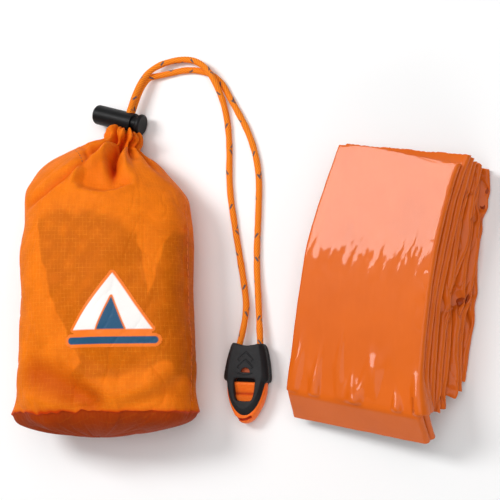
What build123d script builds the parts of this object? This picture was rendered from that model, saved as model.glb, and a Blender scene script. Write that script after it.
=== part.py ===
"""Emergency bivy sack kit: a gathered ripstop stuff sack with its drawcord, cord lock and whistle, and the folded
film bivy beside it. Both lie flat on one surface, z = 0. Millimetres, +Z up, +Y from the sack's base to its neck."""

from build123d import *
from math import atan2, cos, degrees, radians, sin, tan
import os

CENTRE_X, CENTRE_Y = -1.3, -3.5  # middle of the kit, where the finished model's origin is put

# ---------------------------------------------------------------- stuff sack
SACK_X = -64.0  # centre line of the sack
FABRIC = 0.8
BASE_Y = -66.5  # plane of the base seam
SEAM_RIDGE, SEAM_WIDTH = 1.6, 1.8  # how far the sewn base seam stands proud, and its width
SEAM_FOOT = 3.0  # the ridge ends this far above the sack's underside
# Each section of the sack: y, width, height, offset of its centre from SACK_X, height of its underside.
BODY_SECTIONS = [
    (BASE_Y, 82, 40, -0.5, 0.0),
    (-48.0, 79, 43, -0.7, 0.0),
    (-22.5, 76, 46, -1.3, 0.0),
    (14.5, 75.5, 45, -2.3, 0.0),
    (24.0, 76, 42, -3.3, 0.1),
    (33.0, 70.5, 38, -5.6, 0.3),
    (41.0, 60, 33, -8.4, 0.9),
    (47.0, 48, 27, -9.4, 1.4),
    (50.6, 32, 20, -8.4, 2.0),
    (53.0, 14, 11, -2.2, 3.6),
]
BASE_SECTIONS = [
    (BASE_Y, 82, 40, -0.5, 0.0),
    (-72.0, 75, 35, -1.0, 0.3),
    (-76.0, 62, 28, -2.0, 1.2),
    (-78.0, 46, 19, -3.0, 3.0),
]
CORNER_SHARE = 0.42  # corner radius of a section, as a share of its smaller side

# ---------------------------------------------------------------- drawcord and its lock
CORD_D = 2.8
CORD_R = CORD_D / 2
LOCK_TURN = -17.0  # the lock's barrel, turned about Z from +X
LOCK_POS = (-62.5, 65.4, 5.8)  # where both cords cross the barrel
PAIR_Z = 1.5  # each cord's height above or below the barrel's axis
BARREL_Y, BARREL_Z = 4.5, 5.6  # the barrel's half depth along the cord and half height
BARREL_LEFT, BARREL_RIGHT = -16.3, 3.2
BORE_Y, BORE_Z = 3.35, 4.7
BORE_END = -14.4
CORD_GAP = 0.2
PLUNGER_TRAVEL = 2.0
PLUNGER_Y, PLUNGER_Z = 3.25, 4.6
PLUNGER_END = -8.0
HEAD_START, HEAD_THICK = 5.4, 2.2
HEAD_Y, HEAD_Z = 4.9, 5.1
SPRING_R, SPRING_WIRE, SPRING_TURNS = 2.3, 0.5, 5
FREE_START = 5.0  # where the free cords leave the lock, along the cord

# The two free strands lie side by side from the lock to the whistle: hand-chosen points of each route.
STRAND_LEFT = [
    (-51.5, 90.5, 4.6),
    (-36.5, 94.0, 2.2),
    (-26.0, 89.5, 4.8),
    (-20.0, 80.5, 4.8),
    (-16.5, 69.0, 1.6),
    (-14.5, 53.5, 1.4),
    (-15.0, 33.5, 1.4),
    (-11.5, 11.5, 1.4),
    (-7.5, -11.0, 1.4),
    (-5.5, -25.0, 3.2),
]
STRAND_RIGHT = [
    (-47.5, 87.0, 1.4),
    (-33.0, 89.0, 1.4),
    (-20.0, 84.0, 1.4),
    (-13.0, 71.0, 1.4),
    (-5.0, 56.5, 1.4),
    (-0.5, 40.0, 1.4),
    (-1.0, 20.0, 1.4),
    (-2.0, 0.0, 1.4),
    (-0.5, -18.5, 2.8),
]

# ---------------------------------------------------------------- whistle
HINGE_POS = (-3.75, -35.75, 4.9)  # midway between the cords, just above the cover
WHISTLE_TURN = -3.0
ENTRY_X = 5.1  # each cord's distance from the whistle's centre line
BEND_GAP = 1.5  # from a strand's end to the hinge line, where the cords bend
COVER_TOP = -2.6
COVER_STEP = -17.5  # where the covers' side skirts end and their tongue goes on
COVER_SPLIT = 4.9  # height where the two covers meet
COVER_HEIGHT = 9.8
TONGUE_TIP = -32.4
BODY_TIP = -35.6
WINDOW_Y = -22.1
BODY_LOW, BODY_HIGH = 2.0, 7.8
COVER_CHAMFER = 0.9

# ---------------------------------------------------------------- folded bivy
PACK_POS = (66.5, -15.0)  # centre of its lowest fold
PACK_TURN = -10.5
PACK_WIDTH = 58.0
FOLDS = 8  # the top one is the loose front flap
FOLD_GAP = 0.12
LEFT_R, RIGHT_R = 1.15, 1.75  # half thickness of a fold at its tight and its loose edge
LEAN = -1.6  # each fold lies this far to the left of the one below it
FLAP_GAP = 0.3  # the loose flap's height above the fold under it
# Top and foot end of each fold along the pack, from the lowest up.
FOLD_TOPS = [54.6, 54.2, 54.4, 54.8, 55.0, 55.4, 56.0, 54.5]
FOLD_FEET = [-35.5, -39.5, -43.0, -48.0, -49.6, -48.2, -49.6, -51.2]
LIP_SLOPE, LIP_LENGTH = 50.0, 16.0  # the foot ends of the flap and the fold under it hang down over the stack
BUNDLE_FOLDS = 4
BUNDLE_WIDTH, BUNDLE_LENGTH, BUNDLE_R = 56.0, 88.0, 2.9
BUNDLE_POS = (SACK_X, -15.5, 8.0)


def section(y, width, height, offset, low):
    """One rounded section of the sack, standing across its length."""
    plane = Plane(origin=(SACK_X + offset, y, low + height / 2), x_dir=(1, 0, 0), z_dir=(0, 1, 0))
    radius = CORNER_SHARE * min(width, height)
    return plane * RectangleRounded(width, height, radius)


def skin(sections, grow):
    """The solid inside a set of sections, each one larger by grow all round."""
    grown = [section(y, w + 2 * grow, h + 2 * grow, dx, low - grow) for y, w, h, dx, low in sections]
    return loft(grown, ruled=True)


def capsule(x0, z0, r0, x1, z1, r1, y0, y1):
    """A flattened fold: two round edges joined by tangent faces, drawn in XZ and run along Y."""
    ends = Sketch() + [Pos(x0, z0) * Circle(r0), Pos(x1, z1) * Circle(r1)]
    outline = make_hull(ends.edges())
    plane = Plane(origin=(0, y1, 0), x_dir=(1, 0, 0), z_dir=(0, -1, 0))
    return extrude(plane * outline, y1 - y0)


def route_tube(points, radius):
    """A round cord along straight runs joined by tangent arcs, each arc as large as its runs allow."""
    corners = [Vector(*p) for p in points]
    radii = []
    for before, here, after in zip(corners, corners[1:], corners[2:]):
        turn = (here - before).get_angle(after - here)
        shorter = min((here - before).length, (after - here).length)
        radii.append(0.45 * shorter / tan(radians(turn / 2)))
    path = FilletPolyline(*corners, radius=radii)
    tube = sweep(Plane(origin=path @ 0, z_dir=path % 0) * Circle(radius), path=path)
    expected = path.length * Circle(radius).area
    print(f"cord {path.length:.1f} mm long, tightest arc {min(radii):.1f}, volume {tube.volume / expected:.4f} of due")
    return tube


def elliptic_bar(half_y, half_z, x0, x1):
    """A bar of elliptic section along X."""
    plane = Plane(origin=(x0, 0, 0), x_dir=(0, 1, 0), z_dir=(1, 0, 0))
    return extrude(plane * Ellipse(half_y, half_z), x1 - x0)


def slot_through(x0, x1, half_z, reach):
    """A rounded slot along Y, as wide as x0 to x1, for both cords."""
    plane = Plane(origin=((x0 + x1) / 2, reach, 0), x_dir=(1, 0, 0), z_dir=(0, -1, 0))
    return extrude(plane * RectangleRounded(x1 - x0, 2 * half_z, CORD_R + 0.1), 2 * reach)


# ---------------------------------------------------------------- the sack's pieces
def sack_body():
    inner = [(y, w, h, dx, low) for y, w, h, dx, low in BODY_SECTIONS[:-1]]
    return skin(BODY_SECTIONS, 0) - skin(inner, -FABRIC)


def sack_base():
    y, w, h, dx, low = BASE_SECTIONS[-1]
    return skin(BASE_SECTIONS, 0) - skin(BASE_SECTIONS[:-1] + [(y + FABRIC, w, h, dx, low)], -FABRIC)


def base_seam():
    """The seam allowance where the base panel meets the body: a ridge round it, down to near the surface."""
    y, w, h, dx, low = BODY_SECTIONS[0]
    plane = Plane(origin=(SACK_X + dx, y, low + h / 2), x_dir=(1, 0, 0), z_dir=(0, -1, 0))
    radius = CORNER_SHARE * min(w, h)
    outer = Pos(0, SEAM_RIDGE / 2) * RectangleRounded(w + 2 * SEAM_RIDGE, h + SEAM_RIDGE, radius)
    inner = RectangleRounded(w, h, radius)
    foot = Pos(0, -h / 2) * Rectangle(2 * w, 2 * SEAM_FOOT)
    return extrude(plane * (outer - inner - foot), SEAM_WIDTH)


def side_seam():
    """The lengthwise seam that closes the body panel into a tube, on its right side."""
    y0, y1 = BASE_Y + 3.0, 26.0
    strip = Pos(SACK_X + 40, (y0 + y1) / 2, 20) * Box(24, y1 - y0, 3.2)
    return (skin(BODY_SECTIONS, 0.9) - skin(BODY_SECTIONS, 0)) & strip


def packed_bundle():
    """What the sack is packed with: a second bundle of the same film, folded flat."""
    x, y, z = BUNDLE_POS
    folds = []
    for k in range(BUNDLE_FOLDS):
        height = z + BUNDLE_R + k * (2 * BUNDLE_R + FOLD_GAP)
        half = BUNDLE_WIDTH / 2 - BUNDLE_R
        fold = capsule(-half, 0, BUNDLE_R, half, 0, BUNDLE_R, -BUNDLE_LENGTH / 2, BUNDLE_LENGTH / 2)
        folds.append(Pos(x, y, height) * fold)
    return Compound(folds)


# ---------------------------------------------------------------- the neck, in the lock's frame
LOCK = Pos(*LOCK_POS) * Rot(0, 0, LOCK_TURN)
NECK_C = -8.4  # where the hem rings the neck, along the cord from the lock
RING_R, HEM_R = 5.4, 2.6
NECK_Z = 2.8  # the neck's centre above the lock's axis
LEAVES_LEFT, LEAVES_RIGHT = 205, -68  # where the strands leave the ring, degrees round from its right side
BEND_OUT, TIGHT_BEND = 1.5, 1.8  # each strand bends this far below the barrel, with this radius


def neck_ring(radius):
    return Plane(origin=(0, NECK_C, NECK_Z), z_dir=(0, 1, 0)) * Torus(RING_R, radius)


def drawcord_in_hem():
    """A ring of cord inside the hem, which each strand leaves on its own side of the neck for the lock."""
    cord = neck_ring(CORD_R)
    for height, angle in ((PAIR_Z, LEAVES_LEFT), (-PAIR_Z, LEAVES_RIGHT)):
        joins = Vector(RING_R * cos(radians(angle)), NECK_C, RING_R * sin(radians(angle)) + NECK_Z)
        bend = Vector(0, -BARREL_Y - BEND_OUT, height)
        path = FilletPolyline(Vector(0, FREE_START, height), bend, joins, radius=TIGHT_BEND)
        cord += sweep(Plane(origin=path @ 0, z_dir=path % 0) * Circle(CORD_R), path=path)
        cord += Pos(joins) * Sphere(CORD_R * 1.01)
    return LOCK * cord


def drawcord_hem():
    """The folded hem that the cord runs in, gathered to a tight ring round the neck."""
    return LOCK * neck_ring(HEM_R)


# ---------------------------------------------------------------- cord lock
def cord_lock_barrel():
    barrel = elliptic_bar(BARREL_Y, BARREL_Z, BARREL_LEFT, BARREL_RIGHT)
    barrel = fillet(barrel.edges().group_by(Axis.X)[0], 1.0)
    barrel -= elliptic_bar(BORE_Y, BORE_Z, BORE_END, BARREL_RIGHT + 1)
    barrel -= slot_through(-CORD_R - CORD_GAP, CORD_R + CORD_GAP, PAIR_Z + CORD_R + CORD_GAP, 2 * BARREL_Y)
    tab = Pos(2.1, -3.18, 3.96) * Rot(51, 0, 0) * Box(1.8, 2.2, 1.0)
    return LOCK * (barrel + (tab - elliptic_bar(BORE_Y, BORE_Z, BORE_END, BARREL_RIGHT)))


def cord_lock_plunger():
    """The sprung button. Its slot pinches both cords against the barrel and frees them when it is pressed."""
    shaft = elliptic_bar(PLUNGER_Y, PLUNGER_Z, PLUNGER_END, HEAD_START + 1)
    shaft -= slot_through(-CORD_R - 0.1, CORD_R + PLUNGER_TRAVEL + 0.1, PAIR_Z + CORD_R + CORD_GAP, 2 * PLUNGER_Y)
    head = elliptic_bar(HEAD_Y, HEAD_Z, HEAD_START, HEAD_START + HEAD_THICK)
    head = fillet(head.edges(), 0.9)
    return LOCK * (shaft + head)


def cord_lock_spring():
    pitch = (PLUNGER_END - BORE_END - SPRING_WIRE - 0.2) / SPRING_TURNS
    helix = Helix(pitch, pitch * SPRING_TURNS, SPRING_R)
    coil = sweep(Plane(origin=helix @ 0, z_dir=helix % 0) * Circle(SPRING_WIRE / 2), path=helix, is_frenet=True)
    return LOCK * Pos(BORE_END + SPRING_WIRE / 2 + 0.1, 0, 0) * Rot(0, 90, 0) * coil


def free_route(points, side, height):
    """A strand's whole route: out of the lock along the cord, over its own points, to its side of the whistle."""
    start = [LOCK * Pos(0, c, height) for c in (FREE_START, FREE_START + 10)]
    end = Pos(*HINGE_POS) * Rot(0, 0, WHISTLE_TURN) * Pos(side * ENTRY_X, BEND_GAP, 0)
    return [tuple(p.position) for p in start] + points + [tuple(end.position)]


# ---------------------------------------------------------------- whistle, in its own frame
WHISTLE = Pos(*HINGE_POS) * Rot(0, 0, WHISTLE_TURN) * Pos(0, 0, -COVER_SPLIT)


def mirrored_outline(points):
    """A closed outline from its right half, smooth between points, with a straight top."""
    right = Spline(*points)
    left = Spline(*[(-x, y) for x, y in points])
    return make_face([right, left, Line(points[0], (-points[0][0], points[0][1]))])


def cover_outline():
    shoulders = mirrored_outline([(7.4, COVER_TOP), (8.9, -9.0), (9.7, -16.5), (0, -23.5)])
    tongue = mirrored_outline([(8.0, -13.0), (8.3, -17.5), (7.0, -24.5), (4.2, -29.9), (0, TONGUE_TIP)])
    return Sketch() + shoulders - Pos(0, COVER_STEP - 15) * Rectangle(30, 30) + tongue


def cover_half(low, high):
    return extrude(Pos(0, 0, low) * cover_outline(), high - low)


def body_outline(grow):
    half = [(7.4, -13.2), (8.6, -18.5), (7.8, -26.0), (4.6, -33.0), (0, BODY_TIP)]
    return mirrored_outline([(x + grow * (x > 0), y + grow * (1 if y > -14 else -1)) for x, y in half])


def body_pocket():
    return extrude(Pos(0, 0, BODY_LOW - 0.1) * body_outline(0.12), BODY_HIGH - BODY_LOW + 0.2)


def knot_cavity():
    room = Pos(0, -8.7, COVER_SPLIT) * Box(13.2, 7.8, 6.4)
    for side in (-1, 1):
        bore = Plane(origin=(side * ENTRY_X, 0, COVER_SPLIT), z_dir=(0, -1, 0)) * Circle(CORD_R + CORD_GAP)
        room += extrude(bore, 6.0)
    return room


def cover_window():
    return Pos(0, WINDOW_Y, 0) * extrude(RectangleRounded(9.0, 7.8, 1.6), 30, both=True)


def whistle_front_cover():
    cover = cover_half(COVER_SPLIT, COVER_HEIGHT)
    cover = chamfer(cover.edges().group_by(Axis.Z)[-1], COVER_CHAMFER)
    cover -= body_pocket()
    cover -= knot_cavity()
    cover -= cover_window()
    cover -= Pos(0, -13.4, COVER_HEIGHT) * Cylinder(1.7, 2.0)
    chevron = Polyline((-2.6, -1.2), (0, 0.6), (2.6, -1.2), (2.6, -2.0), (0, -0.2), (-2.6, -2.0), close=True)
    for y in (-6.2, -9.2):
        cover += Pos(0, y, COVER_HEIGHT - 0.1) * extrude(make_face(chevron), 0.4)
    return WHISTLE * cover


def whistle_back_cover():
    cover = cover_half(0, COVER_SPLIT)
    cover = chamfer(cover.edges().group_by(Axis.Z)[0], COVER_CHAMFER)
    return WHISTLE * (cover - body_pocket() - knot_cavity())


def whistle_body():
    """The mouthpiece and air chamber, with a mouth slot at its tip and a sound window in its top."""
    body = extrude(Pos(0, 0, BODY_LOW) * body_outline(0), BODY_HIGH - BODY_LOW)
    middle = (BODY_LOW + BODY_HIGH) / 2
    chamber = Pos(0, WINDOW_Y + 4.6, middle) * Box(9.6, 6.4, 3.4)
    duct = Pos(0, WINDOW_Y - 6.2, middle + 0.6) * Box(7.0, 17.0, 1.4)
    window = Pos(0, WINDOW_Y + 1.2, middle + 2.6) * Box(8.4, 2.6, 5.0)
    return WHISTLE * (body - chamber - duct - window)


def whistle_ramp():
    """The sharp lip that splits the breath, a half round bar lying across the sound window."""
    lip_y = WINDOW_Y - 1.6
    bar = Plane(origin=(-3.8, lip_y, BODY_HIGH), z_dir=(1, 0, 0)) * Circle(1.4)
    ridge = extrude(bar, 7.6) & Pos(0, lip_y, BODY_HIGH + 5.0) * Box(20, 10, 10)
    return WHISTLE * ridge


def cord_end_knot():
    """The ends of both strands: round where they bend at the hinge line, and knotted together inside the covers."""
    knot_y = -8.9
    knot = Pos(0, knot_y, COVER_SPLIT) * Rot(0, 90, 0) * Cylinder(CORD_R, 2 * ENTRY_X)
    for side in (-1, 1):
        start = Plane(origin=(side * ENTRY_X, 0, COVER_SPLIT), z_dir=(0, -1, 0))
        knot += extrude(start * Circle(CORD_R), -knot_y)
        knot += Pos(side * ENTRY_X, 0, COVER_SPLIT) * Sphere(CORD_R)
        knot += Pos(side * ENTRY_X, knot_y, COVER_SPLIT) * Sphere(CORD_R)
    for x in (-2.4, 0.0, 2.4):
        knot += Pos(x, knot_y, COVER_SPLIT) * Rot(0, 90, 0) * Torus(1.5, 1.25)
    return WHISTLE * knot


# ---------------------------------------------------------------- folded bivy
PACK = Pos(*PACK_POS, 0) * Rot(0, 0, PACK_TURN)


def fold_slab(k, lift, foot, top):
    """One fold between two ends, tight at its left edge and loose at its right; the stack leans to the left."""
    half = PACK_WIDTH / 2
    left_z = LEFT_R + k * (2 * LEFT_R + FOLD_GAP) + lift
    right_z = RIGHT_R + k * (2 * RIGHT_R + FOLD_GAP) + lift
    x0, x1 = -half + LEFT_R + k * LEAN, half - RIGHT_R + k * LEAN
    return capsule(x0, left_z, LEFT_R, x1, right_z, RIGHT_R, foot, top)


def fold_with_lip(k, lift):
    """A fold whose foot end is longer than the stack and hangs down in front of the ends of the folds below."""
    foot = FOLD_FEET[k]
    left_z, right_z = (r + k * (2 * r + FOLD_GAP) + lift for r in (LEFT_R, RIGHT_R))
    tilt = -degrees(atan2(right_z - left_z, PACK_WIDTH - LEFT_R - RIGHT_R))
    crease = Pos(k * LEAN, foot, (left_z + right_z) / 2) * Rot(0, tilt, 0)
    lip = fold_slab(k, lift, foot - LIP_LENGTH, foot)
    return fold_slab(k, lift, foot, FOLD_TOPS[k]) + crease * Rot(LIP_SLOPE, 0, 0) * crease.inverse() * lip


def bivy_fold(k):
    if k == FOLDS - 2:
        return PACK * fold_with_lip(k, 0)
    return PACK * fold_slab(k, 0, FOLD_FEET[k], FOLD_TOPS[k])


def bivy_front_flap():
    """The loose top panel."""
    return PACK * fold_with_lip(FOLDS - 1, FLAP_GAP)


def parts():
    found = {
        "sack_body": sack_body(),
        "sack_base": sack_base(),
        "sack_base_seam": base_seam(),
        "sack_side_seam": side_seam(),
        "packed_bundle": packed_bundle(),
        "drawcord_hem": drawcord_hem(),
        "drawcord_in_hem": drawcord_in_hem(),
        "cord_strand_left": route_tube(free_route(STRAND_LEFT, -1, PAIR_Z), CORD_R),
        "cord_strand_right": route_tube(free_route(STRAND_RIGHT, 1, -PAIR_Z), CORD_R),
        "cord_lock_barrel": cord_lock_barrel(),
        "cord_lock_plunger": cord_lock_plunger(),
        "cord_lock_spring": cord_lock_spring(),
        "whistle_front_cover": whistle_front_cover(),
        "whistle_back_cover": whistle_back_cover(),
        "whistle_body": whistle_body(),
        "whistle_ramp": whistle_ramp(),
        "cord_end_knot": cord_end_knot(),
    }
    for k in range(FOLDS - 1):
        found[f"bivy_fold_{k + 1}"] = bivy_fold(k)
    found["bivy_front_flap"] = bivy_front_flap()
    return {name: Pos(-CENTRE_X, -CENTRE_Y, 0) * shape for name, shape in found.items()}


if __name__ == "__main__":
    os.makedirs("parts", exist_ok=True)
    for name, shape in parts().items():
        export_step(shape, f"parts/{name}.step")
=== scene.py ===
"""Emergency bivy kit: a gathered ripstop stuff sack with its braided drawcord, cord lock and whistle, and
the folded film bivy beside it. Points are in mm on the part's own drawing, and metres() moves them into
the shared frame."""

import bpy
import math
import numpy as np
from mathutils import Matrix, Vector
from mathutils.bvhtree import BVHTree


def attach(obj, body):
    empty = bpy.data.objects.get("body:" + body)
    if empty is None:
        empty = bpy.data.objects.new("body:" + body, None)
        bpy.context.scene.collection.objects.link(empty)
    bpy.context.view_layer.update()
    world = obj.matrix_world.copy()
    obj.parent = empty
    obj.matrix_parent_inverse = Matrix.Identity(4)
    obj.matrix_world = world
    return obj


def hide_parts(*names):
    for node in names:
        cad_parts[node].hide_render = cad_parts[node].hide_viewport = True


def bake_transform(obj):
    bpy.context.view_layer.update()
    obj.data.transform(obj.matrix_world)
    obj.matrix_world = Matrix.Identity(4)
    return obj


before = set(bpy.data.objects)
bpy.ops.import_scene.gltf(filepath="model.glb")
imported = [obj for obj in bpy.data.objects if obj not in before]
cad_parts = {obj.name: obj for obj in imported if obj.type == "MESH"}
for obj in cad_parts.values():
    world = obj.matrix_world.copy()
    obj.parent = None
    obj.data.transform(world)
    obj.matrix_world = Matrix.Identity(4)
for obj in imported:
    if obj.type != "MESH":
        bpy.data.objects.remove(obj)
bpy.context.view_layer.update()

DRAWING_AT = (1.3, 3.5, 0)  # where the drawing's origin lies in the frame, mm


def metres(points):
    """Points of the drawing, in mm, moved into the shared frame, in metres."""
    return (np.asarray(points, float) + DRAWING_AT) / 1000


def linked(name, data):
    """A new object in the scene."""
    obj = bpy.data.objects.new(name, data)
    bpy.context.collection.objects.link(obj)
    return obj


# ---- camera
AIM = Vector((0.0013, 0.006, 0.015))
EYE_WAY = Vector((math.tan(math.radians(20)), -math.tan(math.radians(8)), 1.0)).normalized()
EYE_DISTANCE = 0.620
FOCAL, SENSOR = 103.8, 36  # mm
UP = (Vector((0, 1, 0)) - EYE_WAY * EYE_WAY.y).normalized()
lens = bpy.data.cameras.new("camera")
lens.lens = FOCAL
lens.sensor_width = SENSOR
lens.clip_start = 0.01
camera = linked("camera", lens)
turn = Matrix((UP.cross(EYE_WAY), UP, EYE_WAY)).transposed().to_4x4()
camera.matrix_world = Matrix.Translation(AIM + EYE_WAY * EYE_DISTANCE) @ turn
bpy.context.scene.camera = camera


# ---- shapes
def smooth(x):
    """0 up to 0, 1 from 1 on, and a soft step between them."""
    x = np.clip(x, 0, 1)
    return x * x * (3 - 2 * x)


def bell(distance, width):
    """1 at no distance, fading to nothing over about twice the width."""
    return np.exp(-((distance / width) ** 2))


def points_of(*axes):
    """Points from their coordinates, each broadcast to the same shape."""
    return np.stack(np.broadcast_arrays(*axes), -1)


def turned(degrees):
    """The level directions that the X and Y axes come to when turned about Z."""
    angle = math.radians(degrees)
    c, s = math.cos(angle), math.sin(angle)
    return np.array([c, s, 0]), np.array([-s, c, 0])


def waves(points, size, seed, count=14):
    """A smooth random field over points, about 1 high: many sine waves of roughly one length."""
    points = np.asarray(points, float)
    rng = np.random.default_rng(seed)
    way = rng.normal(size=(count, points.shape[-1]))
    way *= (2 * math.pi / (size * rng.uniform(0.65, 1.5, count)) / np.linalg.norm(way, axis=1))[:, None]
    return np.sin(points @ way.T + rng.uniform(0, 2 * math.pi, count)).sum(-1) * math.sqrt(2 / count)


def ridges(points, size, seed, sharp=0.3):
    """Sharp crumple lines: high where a random field crosses zero."""
    return np.exp(-np.abs(waves(points, size, seed)) / sharp)


def line_distance(x, y, line):
    """Distance from each (x, y) to a broken line."""
    best = np.full(np.shape(x), 1e9)
    for (x0, y0), (x1, y1) in zip(line, line[1:]):
        dx, dy = x1 - x0, y1 - y0
        t = np.clip(((x - x0) * dx + (y - y0) * dy) / (dx * dx + dy * dy), 0, 1)
        best = np.minimum(best, np.hypot(x - x0 - t * dx, y - y0 - t * dy))
    return best


def inside_distance(x, y, ring):
    """Signed distance to a closed outline, positive inside it."""
    crossings = np.zeros(np.shape(x), int)
    closed = list(ring) + [ring[0]]
    for (x0, y0), (x1, y1) in zip(closed, closed[1:]):
        if y0 != y1:
            crossings += ((y0 > y) != (y1 > y)) & (x < (x1 - x0) * (y - y0) / (y1 - y0) + x0)
    return line_distance(x, y, closed) * np.where(crossings % 2, 1, -1)


def rounded_ring(half, count=12):
    """A smooth closed outline through the points of its right half, from the top down, mirrored."""
    points = np.array(half + [(-x, y) for x, y in half[::-1] if x > 0], float)
    before, here, after, then = (np.roll(points, k, 0) for k in (1, 0, -1, -2))
    t = np.linspace(0, 1, count, endpoint=False)[:, None, None]
    line = here + t * (after - before) / 2 + t**2 * (before - 2.5 * here + 2 * after - then / 2)
    line = line + t**3 * (1.5 * here - 1.5 * after + (then - before) / 2)
    return line.transpose(1, 0, 2).reshape(-1, 2)


def reach_of(ring, centre, angle):
    """How far an outline lies from a point inside it, at each angle round it."""
    way = np.asarray(ring) - centre
    return np.interp(angle, np.arctan2(way[:, 1], way[:, 0]), np.hypot(*way.T), period=2 * math.pi)


def grid(points, u, v, closed=False, **values):
    """A sheet of quads. u and v are its lie in the cloth, in mm, with one more column where it closes."""
    rows, cols = points.shape[:2]
    wide = cols if closed else cols - 1
    first = np.arange(rows - 1)[:, None] * cols + np.arange(wide)
    nxt = np.arange(rows - 1)[:, None] * cols + (np.arange(wide) + 1) % cols
    faces = np.stack([first, nxt, nxt + cols, first + cols], -1).reshape(-1, 4)
    u = np.broadcast_to(u, (rows, wide + 1))
    v = np.broadcast_to(np.reshape(v, (rows, -1)), (rows, wide + 1))
    corners = [np.stack([q[:-1, :-1], q[:-1, 1:], q[1:, 1:], q[1:, :-1]], -1) for q in (u, v)]
    return {"points": points.reshape(-1, 3), "faces": faces, "uv": np.stack(corners, -1).reshape(-1, 2),
            "values": {k: np.broadcast_to(a, (rows, cols)).ravel() for k, a in values.items()}}


def piece(name, grids, body, look):
    """One object made of one or more grids, riding on a body."""
    start, faces = 0, []
    for g in grids:
        faces.append(g["faces"] + start)
        start += len(g["points"])
    points = metres(np.concatenate([g["points"] for g in grids]))
    uv = np.concatenate([g["uv"] for g in grids])
    mesh = bpy.data.meshes.new(name)
    mesh.from_pydata(points, [], np.concatenate(faces).tolist())
    mesh.uv_layers.new(name="cloth").data.foreach_set("uv", uv.ravel())
    for key in grids[0]["values"]:
        data = np.concatenate([g["values"][key] for g in grids]).astype(np.float32)
        mesh.attributes.new(key, "FLOAT", "POINT").data.foreach_set("value", data)
    mesh.shade_smooth()
    mesh.update()
    obj = linked(name, mesh)
    mesh.materials.append(look)
    if body:
        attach(obj, body)
    return obj


def along(line, step):
    """A line's points at even steps, and how far along each one is."""
    line = np.asarray(line, float)
    reach = np.concatenate([[0], np.cumsum(np.linalg.norm(np.diff(line, axis=0), axis=1))])
    s = np.linspace(0, reach[-1], max(2, int(round(reach[-1] / step)) + 1))
    return np.stack([np.interp(s, reach, line[:, k]) for k in range(3)], -1), s


def carried_frames(line):
    """Two directions square to a line at each point, carried along it without twist."""
    way = np.gradient(line, axis=0)
    way /= np.linalg.norm(way, axis=1)[:, None]
    side = np.cross(way[0], (0, 0, 1))
    side = side / np.linalg.norm(side) if np.linalg.norm(side) > 1e-3 else np.array([1.0, 0, 0])
    sides = []
    for w in way:
        side = side - w * (side @ w)
        side = side / np.linalg.norm(side)
        sides.append(side)
    sides = np.array(sides)
    return sides, np.cross(way, sides)


def tube(line, s, radius, around, **values):
    """A tube round a line. radius is a number or an array, rows along it and columns round it."""
    sides, ups = carried_frames(line)
    angle = np.arange(around) * 2 * math.pi / around
    spokes = np.cos(angle)[None, :, None] * sides[:, None] + np.sin(angle)[None, :, None] * ups[:, None]
    radius = np.broadcast_to(radius, (len(line), around))
    points = line[:, None] + spokes * radius[..., None]
    round_it = np.arange(around + 1) / around * 2 * math.pi * np.mean(radius)
    return grid(points, round_it, s, closed=True, **values)


# ---- materials
class Look:
    """A material built from nodes, ending in one Principled shader whose constants are set on it."""

    def __init__(self, name, **settings):
        self.material = bpy.data.materials.new(name)
        self.material.use_nodes = True
        self.tree = self.material.node_tree
        self.shader = self.tree.nodes["Principled BSDF"]
        for key, value in settings.items():
            self.shader.inputs[key.replace("_", " ").title().replace("Ior", "IOR")].default_value = value

    def join(self, value, socket):
        if isinstance(value, bpy.types.NodeSocket):
            self.tree.links.new(value, socket)
        elif isinstance(value, tuple) and len(value) == 3 and socket.type == "RGBA":
            socket.default_value = (*value, 1)
        else:
            socket.default_value = value

    def node(self, kind, inputs=(), **settings):
        """The outputs of a new node. Its inputs are given by name or by place."""
        made = self.tree.nodes.new("ShaderNode" + kind)
        for key, value in settings.items():
            setattr(made, key, value)
        for key, value in dict(inputs).items():
            self.join(value, made.inputs[key])
        return made.outputs

    def maths(self, operation, *values):
        return self.node("Math", enumerate(values), operation=operation)[0]

    def mix(self, share, a, b):
        return self.node("Mix", {"Factor": share, 6: a, 7: b}, data_type="RGBA")[2]

    def value(self, name):
        """A number stored at each point of the mesh."""
        return self.node("Attribute", attribute_name=name)["Fac"]

    def uv(self):
        """The lie in the cloth, in mm: the point, and its two numbers."""
        point = self.node("UVMap", uv_map="cloth")[0]
        split = self.node("SeparateXYZ", {0: point})
        return point, split[0], split[1]

    def place(self, stretch=(1, 1, 1)):
        """The point on the object, in mm."""
        point = self.node("TexCoord")["Object"]
        scale = tuple(1000 * k for k in stretch)
        return self.node("VectorMath", {0: point, 1: scale}, operation="MULTIPLY")[0]

    def noise(self, where, size, detail=2.0, rough=0.5):
        inputs = {"Vector": where, "Scale": 1 / size, "Detail": detail, "Roughness": rough}
        return self.node("TexNoise", inputs)[0]

    def spread(self, value, low, high, to_low=0.0, to_high=1.0):
        """The value with its range low to high stretched to another range, and cut off there."""
        return self.node("MapRange", enumerate((value, low, high, to_low, to_high)))[0]

    def colour(self, value):
        self.join(value, self.shader.inputs["Base Color"])

    def roughness(self, value):
        self.join(value, self.shader.inputs["Roughness"])

    def bump(self, *heights):
        """Each height is (value, how high it stands in mm)."""
        inputs = {"Strength": 1.0}
        for value, high in heights:
            inputs |= {"Distance": high / 1000, "Height": value}
            inputs["Normal"] = self.node("Bump", inputs)[0]
        self.join(inputs["Normal"], self.shader.inputs["Normal"])


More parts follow.
